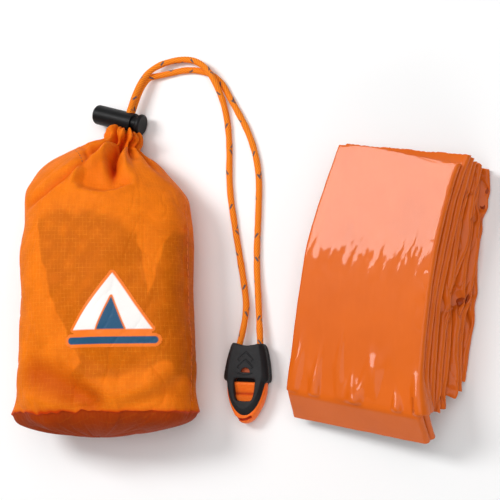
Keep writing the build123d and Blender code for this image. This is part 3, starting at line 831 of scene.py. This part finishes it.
def braid(line, seed, radius=CORD_R):
    """A sixteen-strand braid: two sets of eight yarns wound opposite ways, over and under each other."""
    line, s = along(line, BRAID_STEP)
    angle = np.arange(BRAID_ROUND) * 2 * math.pi / BRAID_ROUND
    one = 8 * (angle[None, :] + 2 * math.pi * s[:, None] / BRAID_LEAD)
    two = 8 * (angle[None, :] - 2 * math.pi * s[:, None] / BRAID_LEAD)
    over = 0.22 * np.sin((one + two) / 2) * np.sin((one - two) / 2)
    crown = np.clip(0.5 + 0.25 * (np.cos(one) + np.cos(two)) + over, 0, 1)
    tracer = np.zeros_like(crown)
    rng = np.random.default_rng(seed)
    for winding, phase, shift in ((one, 0.0, 0.0), (two, 3.0, 4.6)):
        yarn = np.abs((winding / (2 * math.pi) - phase + 4) % 8 - 4)
        dash = np.abs((s[:, None] + shift + rng.uniform(0, 9)) % 9.2 - 4.6)
        tracer = np.maximum(tracer, smooth((0.52 - yarn) / 0.15) * smooth((1.15 - dash) / 0.3))
    wobble = 0.035 * waves(points_of(s, 0), 7, seed + 50)[:, None]
    made = tube(line, s, radius - 0.10 + 0.14 * crown + wobble, BRAID_ROUND, crown=crown, tracer=tracer)
    return made, line


def by_lock(onward, up):
    """A point beside the middle of the lock, so far onward along the cord and up."""
    return LOCK_POS + ALONG_CORD * onward + UPRIGHT * up


for side_name, (side, rise, free_at, points) in STRANDS.items():
    start = [tuple(by_lock(onward, rise)) for onward in (5, free_at)]
    end = tuple(HINGE + ACROSS_WHISTLE * side * 5.1 + ALONG_WHISTLE * -3.5)
    made, centre = braid(nurbs_line(start + points + [end]), 7 + side)
    strand = piece("cord_" + side_name, [made], None, CORD)
    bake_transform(strand)
    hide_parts("cord_strand_" + side_name)

# the cord inside the hem, round the neck and out between the barrel's two ends of bore
NECK, NECK_R = by_lock(-8.0, 2.8) + (1.6, 0, 0), 5.0
ring_angle = np.radians(np.linspace(205, 205 + 267, 40))[1::3]
ring = NECK + np.outer(np.cos(ring_angle), ALONG_LOCK) * NECK_R
ring = ring + np.outer(np.sin(ring_angle), UPRIGHT) * NECK_R
upper = [by_lock(onward, BORE) for onward in (5.4, 0, -4.5)]
lower = [by_lock(onward, -BORE) for onward in (-4.5, 0, 5.4)]
inner, _ = braid(nurbs_line([tuple(p) for p in upper + list(ring) + lower]), 31)
hem_cord = piece("cord_in_hem", [inner], "sack", CORD)
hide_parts("drawcord_in_hem")


# ---- whistle, in its own frame
COVER = rounded_ring([(0, -2.4), (3.6, -1.9), (6.2, -1.3), (7.2, -1.7), (8.0, -3.8), (9.2, -8.6),
                      (10.0, -13.8), (10.15, -16.2), (9.6, -17.4), (8.7, -18.1), (8.2, -20.8), (7.3, -24.6),
                      (5.6, -28.4), (3.4, -31.0), (1.5, -32.2), (0, -32.4)])
PANEL = rounded_ring([(0, -1.6), (3.0, -1.3), (5.3, -1.0), (6.1, -4.4), (7.2, -9.6), (7.6, -14.6),
                      (7.3, -18.2), (6.4, -21.8), (5.0, -25.2), (3.2, -27.8), (1.3, -29.2), (0, -29.4)])
WINDOW = rounded_ring([(0, -16.4), (2.8, -16.4), (4.3, -16.6), (4.85, -17.4), (4.85, -19.4), (4.6, -22.2),
                       (4.1, -24.6), (3.4, -25.8), (2.3, -26.2), (0, -26.25)])
CHAMBER = rounded_ring([(0, -12.2), (6.0, -12.6), (8.0, -14.5), (8.9, -18.6), (8.9, -22.0), (8.2, -25.2),
                        (7.0, -28.5), (5.7, -31.0), (4.3, -33.2), (2.3, -35.1), (0, -35.8)])
WINDOW_MIDDLE, CHAMBER_MIDDLE = (0, -21.2), (0, -24.0)
SPLIT, COVER_TOP, BODY_TOP, BODY_LOW = 4.9, 9.8, 7.8, 2.0  # heights
MOULDED_ROUND = 720  # columns round a moulding
# The ramp that shows in the window, from the tip up: how far along the whistle, and how high.
RAMP_Y = (-26.6, -24.0, -23.2, -22.4, -20.6, -19.2, -18.4, -18.0, -17.8)
RAMP_Z = (6.9, 7.4, 6.6, 6.8, 7.3, 7.9, 7.9, 7.3, 3.2)
MOUTH = [(-5.0, -32.8), (-2.9, -33.9), (-0.9, -34.2), (1.1, -33.9), (3.0, -32.8)]
DASH = [(-2.9, -14.4), (-1.2, -15.0), (0.3, -15.2), (1.8, -15.0), (3.4, -14.4)]
MOON, MOON_R = (0.3, -13.9), 2.0


def carved(distance, half, depth, soft=0.14):
    """How deep a groove is, at a distance from its middle line."""
    return depth * smooth((half - distance) / soft + 0.5)


def from_whistle(x, y, z):
    """Points in the whistle's own frame, moved into the drawing."""
    x, y, z = (np.asarray(axis)[..., None] for axis in (x, y, z))
    return HINGE - UPRIGHT * SPLIT + x * ACROSS_WHISTLE + y * ALONG_WHISTLE + z * UPRIGHT


def moulding(inner, outer, middle, height, rows, walls_in=(), walls_out=(), **values):
    """A moulded face between two outlines, its height drawn by a function. Each wall row is (scale, z)."""
    angle = -np.arange(MOULDED_ROUND) * 2 * math.pi / MOULDED_ROUND
    far = reach_of(outer, middle, angle)
    near = reach_of(inner, middle, angle) if inner is not None else 0.02 + 0 * far

    def at(r):
        return middle[0] + r * np.cos(angle), middle[1] + r * np.sin(angle)

    x, y = at(near + (far - near) * np.linspace(0, 1, rows)[:, None])
    made = points_of(x, y, height(x, y))
    marks = {key: np.broadcast_to(value(x, y), x.shape) for key, value in values.items()}
    for walls, radius, edge in ((walls_in, near, 0), (walls_out, far, -1)):
        for scale, level in walls:
            end = 0 if edge == 0 else len(made)
            made = np.insert(made, end, points_of(*at(scale * radius), level), 0)
            marks = {key: np.insert(value, end, value[edge], 0) for key, value in marks.items()}
    points = from_whistle(*np.moveaxis(made, -1, 0))
    return grid(points, np.arange(MOULDED_ROUND + 1) * 0.08, np.arange(len(made)) * 0.2, True, **marks)


def bevel_share(x, y):
    """0 on the cover's flat panel, rising to 1 at its outline."""
    panel, edge = inside_distance(x, y, PANEL), np.maximum(inside_distance(x, y, COVER), 0)
    return np.clip(-panel / (np.abs(panel) + edge + 1e-6), 0, 1)


def moon_depth(x, y):
    """1 in the half-round hole under the chevrons, 0 outside it."""
    inside = np.minimum(MOON_R - np.hypot(x - MOON[0], y - MOON[1]), y - MOON[1])
    return smooth(inside / 0.2 + 0.5)


def cover_height(x, y):
    """The front cover: a bevelled panel with softened edges and carved marks."""
    edge = np.maximum(inside_distance(x, y, COVER), 0)
    opening = np.maximum(-inside_distance(x, y, WINDOW), 0)
    z = COVER_TOP - 1.9 * bevel_share(x, y) ** 1.2
    z = z - 0.4 * np.exp(-edge / 0.3) - 0.3 * np.exp(-opening / 0.3)
    for tip in (-5.2, -8.4):
        chevron = [(-2.9, tip - 2.9), (0.3, tip), (3.4, tip - 2.9)]
        ends = [(-3.3, tip - 3.4), (-2.6, tip - 3.9)], [(3.8, tip - 3.4), (3.1, tip - 3.9)]
        z -= carved(line_distance(x, y, chevron), 0.26, 0.32)
        for end in ends:
            z -= carved(line_distance(x, y, end), 0.24, 0.3)
    return z - 1.7 * moon_depth(x, y) - carved(line_distance(x, y, DASH), 0.26, 0.32)


def chamber_height(x, y):
    """The orange body: a rounded chamber with its ramp in the window and its carved mouth."""
    edge = np.clip(inside_distance(x, y, CHAMBER), 0, 1.6)
    z = SPLIT + (BODY_TOP - SPLIT) * np.sqrt(1 - (1 - edge / 1.6) ** 2)
    window = smooth(inside_distance(x, y, WINDOW) / 0.3 + 2.0)
    z = z * (1 - window) + np.interp(y, RAMP_Y, RAMP_Z) * window
    return z - carved(line_distance(x, y, MOUTH), 0.5, 1.3, 0.2)


def chamber_dark(x, y):
    """Painted shade in the slot behind the ramp, and in the mouth."""
    groove = 0.75 * bell(y + 23.0, 0.7) * (inside_distance(x, y, WINDOW) > -0.5)
    return np.maximum(groove, smooth((0.5 - line_distance(x, y, MOUTH)) / 0.2 + 0.5))


# Each wall, from the face down: its scale and height.
COVER_IN = [(1.0, 8.8), (1.01, 6.4)]
COVER_OUT = [(1.002, 7.0), (1.003, 5.6), (1.0, 5.05), (0.985, SPLIT)]
UNDER_TOP = SPLIT - 0.02
UNDER_OUT = [(0.985, UNDER_TOP), (1.0, 4.7), (0.995, 3.4), (0.97, 1.6), (0.93, 0.6), (0.88, 0.12),
             (0.5, 0.05), (0.01, 0.05)]
CHAMBER_OUT = [(1.0, 4.4), (0.985, 3.2), (0.94, 2.3), (0.88, BODY_LOW), (0.4, BODY_LOW), (0.01, BODY_LOW)]

cover = moulding(WINDOW, COVER, WINDOW_MIDDLE, cover_height, 110, COVER_IN, COVER_OUT, bevel=bevel_share,
                 hole=moon_depth)
front = piece("whistle_cover_front", [cover], "whistle", COVER_GREY)
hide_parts("whistle_front_cover")
# the back cover is painted all in the darker bevel grey, as shade under the whistle
under = moulding(None, COVER, WINDOW_MIDDLE, lambda x, y: UNDER_TOP, 30, (), UNDER_OUT,
                 bevel=lambda x, y: 1, hole=lambda x, y: 0)
back = piece("whistle_cover_back", [under], "whistle", COVER_GREY)
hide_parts("whistle_back_cover")
chamber = moulding(None, CHAMBER, CHAMBER_MIDDLE, chamber_height, 120, (), CHAMBER_OUT, dark=chamber_dark)
mouthpiece = piece("whistle_mouthpiece", [chamber], "whistle", WHISTLE_ORANGE)
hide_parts("whistle_body", "whistle_ramp")
KNOT = [(-5.1, -2.5, 4.9), (-5.1, -6.5, 4.9), (-2.0, -9.6, 5.2), (2.4, -9.2, 6.0), (2.6, -6.4, 5.0),
        (-1.6, -6.2, 4.0), (-2.4, -8.8, 3.8), (2.0, -9.8, 4.4), (5.1, -6.5, 4.9), (5.1, -2.5, 4.9)]
tied, _ = braid(nurbs_line([tuple(from_whistle(*point)) for point in KNOT]), 44, radius=1.2)
knot = piece("cord_knot_inside", [tied], "whistle", CORD)
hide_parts("cord_end_knot")

# ---- folded bivy
PACK_AT = np.array([66.5, -15.0, 0])
PACK_U, PACK_V = turned(-10.5)
PACK_WIDTH, FOLDS, FOLD_GAP = 58.0, 8, 0.12
LEFT_R, RIGHT_R, LEAN, FLAP_GAP = 1.15, 1.75, -1.6, 0.3  # round edges, each fold's step to the left
# Where each fold ends along the pack, from the lowest up.
FOLD_TOPS = [54.6, 54.2, 54.4, 54.8, 55.0, 55.4, 56.0, 54.5]
FOLD_FEET = [-35.5, -39.5, -43.0, -48.0, -49.6, -48.2, -49.6, -51.2]
LIP_SLOPE, LIP_LENGTH, LIP_BEND = math.radians(50), 15.8, 3.0
INSETS, INSET_STEP = (0.0, 0.42, 0.80), 0.5  # each fold is three turns of film, one inside another
COLUMNS, FILM_STEP = 330, 0.5  # columns round one turn, and mm between its rows
CRUMPLED = [(38, 10), (-6, 9), (-46, 8)]  # where the loose edges are most crumpled: place, reach


def edges(k, lift):
    """The middles of fold k's round edges, left and right, as across and height."""
    half = PACK_WIDTH / 2
    return ((-half + LEFT_R + k * LEAN, LEFT_R + k * (2 * LEFT_R + FOLD_GAP) + lift),
            (half - RIGHT_R + k * LEAN, RIGHT_R + k * (2 * RIGHT_R + FOLD_GAP) + lift))


def loop(k, lift, inset):
    """One turn of film in fold k, from the left edge over the top: across, height and the way out of it."""
    left, right = edges(k, lift)
    across, rise = right[0] - left[0], right[1] - left[1]
    length = math.hypot(across, rise)
    tilt, taper = math.atan2(rise, across), math.asin((RIGHT_R - LEFT_R) / length)
    top, under = math.pi / 2 + taper + tilt, -math.pi / 2 - taper + tilt
    pts, way = [], []
    bends = [(left, LEFT_R - inset, np.linspace(math.pi + tilt, top, 14)),
             (right, RIGHT_R - inset, np.linspace(top, under, 34)),
             (left, LEFT_R - inset, np.linspace(under + 2 * math.pi, math.pi + tilt, 14))]
    for (x, z), r, angles in bends:
        pts += [(x + r * math.cos(a), z + r * math.sin(a)) for a in angles]
        way += [(math.cos(a), math.sin(a)) for a in angles]
    pts, way = np.array(pts), np.array(way)
    reach = np.concatenate([[0], np.cumsum(np.linalg.norm(np.diff(pts, axis=0), axis=1))])
    spacing = np.where(np.diff(reach) > 5, 0.42, 0.16)
    weight = np.concatenate([[0], np.cumsum(np.diff(reach) / spacing)])
    s = np.interp(np.linspace(0, weight[-1], COLUMNS, endpoint=False), weight, reach)
    return np.stack([np.interp(s, reach, q) for q in (*pts.T, *way.T)], -1), np.append(s, reach[-1])


def bowed(v, share, clean):
    """How far a fold's edges wander across, from above. share runs from its left edge to its right one."""
    high = np.clip((v - 10) / 42, 0, 1.2) ** 1.25
    low = np.clip((10 - v) / 57, 0, 1.2) ** 2
    left = -2.3 + 6.3 * high + 2.3 * low
    right = -1.8 + 3.9 * ((v - 3) / 50) ** 2
    loose = np.clip(-0.055 * (v - 3), -2.8, 2.2)
    return (1 - share) * left + share * (clean * right + (1 - clean) * loose)


def lip_bend(way, length):
    """How the film bends down over the foot as a lip: for each place along it, how far down the pack it is,
    how much it drops, and how far it has bent, with the place where the bend begins."""
    flat = length - LIP_BEND * math.tan(LIP_SLOPE / 2)
    beta = np.clip((way - flat) / LIP_BEND, 0, LIP_SLOPE)
    beyond = np.maximum(way - flat - LIP_BEND * LIP_SLOPE, 0)
    down = np.minimum(way, flat) + LIP_BEND * np.sin(beta) + beyond * math.cos(LIP_SLOPE)
    return down, LIP_BEND * (1 - np.cos(beta)) + beyond * math.sin(LIP_SLOPE), beta, flat


def lip_push(U, V, flat, share, flat_place):
    """The flutes that rise from the crease above the lip, and the lip's own slight waves."""
    tall = np.maximum(21 + 8 * waves(points_of(U, 0), 12, 181), 9)
    crest = np.maximum(waves(flat_place * (1, 0.12, 0.3), 6.5, 180) + 0.2, 0)
    climb = 1 - smooth((flat - V) / tall)
    push = (V < flat + 1) * climb * (1.6 * crest - 0.1) * (0.5 + 0.5 * smooth(share))
    push = push + smooth((V - flat) / 3) * (0.05 * waves(flat_place * (1, 0.4, 0.3), 14, 182) - 0.1)
    return push + np.exp(-np.abs(U - U.min()) / 3.0) * 0.05 * waves(points_of(0, V), 14, 183)


def film_turn(k, inset, foot, top, lift=0.0, lip=0.0):
    """A turn of film carried along the pack from its top end to its foot, and over the foot as a lip."""
    section, s = loop(k, lift, inset)
    u0, z0, nu, nz = section.T
    (left_u, left_z), (right_u, right_z) = edges(k, lift)
    share = (u0 - left_u) / (right_u - left_u)
    middle = left_z + (right_z - left_z) * share
    clean = smooth(k / (FOLDS - 1) * 1.15)  # how straight the right edge is
    crush = 0.10 if k >= FOLDS - 3 else ((FOLDS - 1 - k) / (FOLDS - 1)) ** 0.7
    nose = smooth((u0 - (u0.max() - 9)) / 8)  # 1 at the right edge
    length = top - foot
    way = np.arange(0, length + lip, FILM_STEP)
    down, drop, beta, flat = lip_bend(way, length) if lip else (way, 0 * way, 0 * way, length)
    along_v, drop, beta = (top - down)[:, None], drop[:, None], beta[:, None]
    U, V, H, NU, NZ = np.broadcast_arrays(u0, way[:, None], z0 - middle, nu, nz)
    flat_place = points_of(U, V, H + 4 * k)
    only_v = points_of(3 * k, V)
    # ragged ends
    end_u = points_of(U, 5 * k + inset)
    ragged = (0.15 + 0.7 * crush) * waves(end_u, 16, 60 + k) + 0.08 * waves(end_u, 3, 61 + k)
    top_end, foot_end = np.exp(-V / 4), np.exp(-(V.max() - V) / 4)
    shift_v = top_end * (0.3 + np.abs(ragged)) - foot_end * (0.2 + 0.8 * np.abs(ragged))
    if k == FOLDS - 1:
        slant = 0.2 + 3.4 * smooth((U - u0.min() - 12) / 44)
        shift_v = top_end * (slant + 0.25 * ragged) - foot_end * 0.2 * np.abs(ragged)
    # loose right edge: it wanders, pinches and crumples
    local = 0.12 + sum(bell(along_v - place, reach) for place, reach in CRUMPLED)
    wander = waves(only_v, 46, 70 + k)
    quick = waves(only_v, 12, 90 + k)
    edge_out = nose * (crush * (0.9 * wander + 0.35 * quick * local) - 0.5 * crush + 0.10 * wander)
    pinch = nose * crush * (0.30 * wander + 0.45 * quick * local) * RIGHT_R
    crumple = ridges(flat_place * (0.9, 0.45, 0.9), 6.5, 110 + k, 0.22)
    push = -nose * crush * 0.9 * crumple * local - nose * 0.05 * crumple
    near_end = top_end if lip else np.maximum(top_end, foot_end)
    push = push - near_end * (0.05 + 0.4 * crush) * ridges(flat_place, 7, 150 + k, 0.2)
    # the tight faces: fine lengthwise strain, strongest across the middle
    strain = waves(flat_place * (1.0, 0.10, 0.3), 3.4, 170 + k)
    strain = strain + 0.6 * waves(flat_place * (1.0, 0.22, 0.3), 2.0, 171 + k)
    push = push + (1 - nose) * 0.020 * strain * (0.25 + bell(along_v - 12, 12))
    if lip:
        push = push + lip_push(U, V, flat, share, flat_place)
    if k == FOLDS - 2:
        H = H - 0.7 * np.exp(-V / 3.5)
    U = U + edge_out + NU * push + bowed(along_v, share, clean)
    H = H + NZ * push - NZ * np.maximum(pinch, -0.10 - 0.15 * crush) * nose
    V = along_v - shift_v - H * np.sin(beta)
    Z = np.maximum(middle - drop + H * np.cos(beta), 0.15 + 0.02 * k)
    pts = PACK_AT + U[..., None] * PACK_U + V[..., None] * PACK_V + Z[..., None] * UPRIGHT
    hollow = smooth(-NZ * 1.5 - 0.1) * nose  # the underside of the round edge, which the fold below shades
    shade = np.clip(0.45 * nose * crumple * crush * local + 0.35 * (inset > 0) + 0.45 * hollow, 0, 0.9)
    return grid(pts, s, way, True, shade=shade), s[-1]


def fold_piece(name, k, body, replaced, **more):
    """One fold of the pack: its turns of film, one inside another."""
    turns, wide = [], 0
    for n, inset in enumerate(INSETS):
        shorter = INSET_STEP * n
        made, round_it = film_turn(k, inset, FOLD_FEET[k] + shorter, FOLD_TOPS[k] - shorter, **more)
        turns.append(made)
        wide += round_it
    obj = piece(name, turns, body, FILM)
    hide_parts(replaced)


for k in range(FOLDS - 1):
    lip = {"lip": LIP_LENGTH} if k == FOLDS - 2 else {}
    fold_piece(f"film_fold_{k + 1}", k, "folded_bivy", f"bivy_fold_{k + 1}", **lip)
fold_piece("film_flap", FOLDS - 1, "bivy_flap", "bivy_front_flap", lift=FLAP_GAP, lip=LIP_LENGTH)

# ---- the pieces whose drawing shape is right
LOCK_LOOKS = {"cord_lock_barrel": LOCK_BLACK, "cord_lock_plunger": LOCK_BLACK, "cord_lock_spring": STEEL}
for node, look in LOCK_LOOKS.items():
    for material_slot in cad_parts[node].material_slots:
        material_slot.link = "OBJECT"
        material_slot.material = look

# ---- floor and light
FLOOR = 3  # m, half its width
WORLD_LIGHT = 0.27
floor_mesh = bpy.data.meshes.new("floor")
corners = [(-FLOOR, -FLOOR, 0), (FLOOR, -FLOOR, 0), (FLOOR, FLOOR, 0), (-FLOOR, FLOOR, 0)]
floor_mesh.from_pydata(corners, [], [(0, 1, 2, 3)])
floor = linked("floor", floor_mesh)
paper = Look("floor paper", roughness=0.9, specular_ior_level=0.1)
paper.colour(paper.mix(paper.noise(paper.place(), 60, 1), (0.93, 0.93, 0.93), (0.95, 0.95, 0.95)))
floor_mesh.materials.append(paper.material)

world = bpy.data.worlds.new("studio")
world.use_nodes = True
background = world.node_tree.nodes["Background"]
background.inputs["Color"].default_value = (1, 1, 1, 1)
background.inputs["Strength"].default_value = WORLD_LIGHT
bpy.context.scene.world = world
bpy.context.scene.view_settings.view_transform = "Standard"


def softbox(name, middle, across, facing, width, height, watts):
    """A rectangular light that shines along facing, with its width along across."""
    light = bpy.data.lights.new(name, "AREA")
    light.shape = "RECTANGLE"
    light.size, light.size_y = width, height
    light.energy = watts
    obj = linked(name, light)
    back = -Vector(facing).normalized()
    up = back.cross(Vector(across)).normalized()
    axes = Matrix((up.cross(back), up, back)).transposed().to_4x4()
    obj.matrix_world = Matrix.Translation(middle) @ axes


# The back softbox's lower edge is what the tight film mirrors across its middle.
EDGE, EDGE_WAY = Vector((-0.419, 0.164, 0.709)), Vector((0.937, -0.016, 0.349))
TO_PACK, HIGH = Vector((0.562, -0.188, -0.806)), 0.22
above_edge = -TO_PACK.cross(EDGE_WAY).normalized() * HIGH / 2
softbox("softbox_back", EDGE + above_edge, EDGE_WAY, TO_PACK, 0.36, HIGH, 4.1)
softbox("softbox_top", (0.25, 0.10, 1.0), (1, 0, 0), (-0.25, -0.10, -1.0), 0.9, 0.9, 4.6)
softbox("softbox_front", (0.30, -0.85, 0.42), (1, 0.3, 0), (-0.30, 0.85, -0.40), 0.7, 0.3, 1.5)
